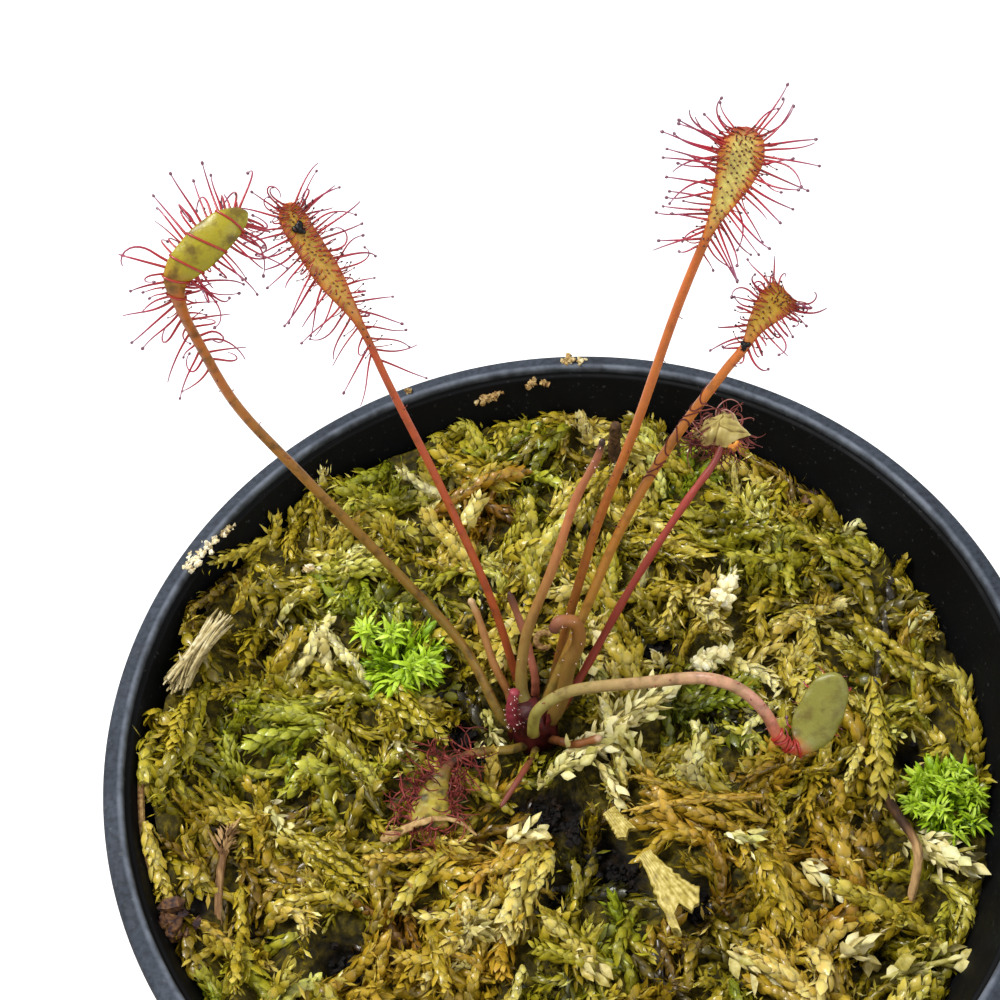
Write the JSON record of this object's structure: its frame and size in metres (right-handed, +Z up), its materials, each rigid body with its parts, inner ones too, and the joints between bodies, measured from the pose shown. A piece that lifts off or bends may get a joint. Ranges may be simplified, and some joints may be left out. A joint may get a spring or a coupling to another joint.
{
  "type": "potted sundew plant",
  "caption": "Carnivorous sundew with sticky long-stalked leaves, growing out of a carpet of moss in a round nursery pot.",
  "frame": {"origin": "centre of the pot's foot, on the surface that the pot stands on", "axes": "+Z up along the pot's axis; the leaves lean towards +Y and the drooping leaf towards +X"},
  "size_m": [0.08, 0.08, 0.1143],
  "materials": {
    "pot_plastic": "satin",
    "growing_mix": "matte",
    "moss": "satin",
    "green_moss": "satin",
    "dry_moss": "matte",
    "twig": "matte",
    "crown": "satin",
    "leaf": "satin",
    "leaf_stalk": "satin",
    "dead_leaf": "matte"
  },
  "bodies": {
    "root": {"pot": "pot_plastic", "growing_mix": "growing_mix", "moss_carpet": "moss", "green_moss_left": "green_moss", "green_moss_right": "green_moss", "cream_strand_back": "dry_moss", "cream_strand_middle": "dry_moss", "cream_strand_crown": "dry_moss", "cream_strand_front": "dry_moss", "cream_strand_right": "dry_moss", "cream_strand_wall": "dry_moss", "twig_left": "twig", "twig_right": "twig", "twig_back": "twig", "crown_and_roots": "crown", "leaf_far_left": "leaf", "leaf_left": "leaf", "leaf_tall": "leaf", "leaf_right": "leaf", "leaf_drooping": "leaf", "stalk_tall_bare": "leaf_stalk", "stalk_short_left": "leaf_stalk", "stalk_short_behind": "leaf_stalk", "stalk_cut": "dead_leaf", "stalk_dead_front": "dead_leaf", "young_leaf_hooked": "leaf_stalk", "bud_red": "crown", "leaf_dried": "dead_leaf", "leaf_dead_front": "dead_leaf"}
  },
  "joints": []
}
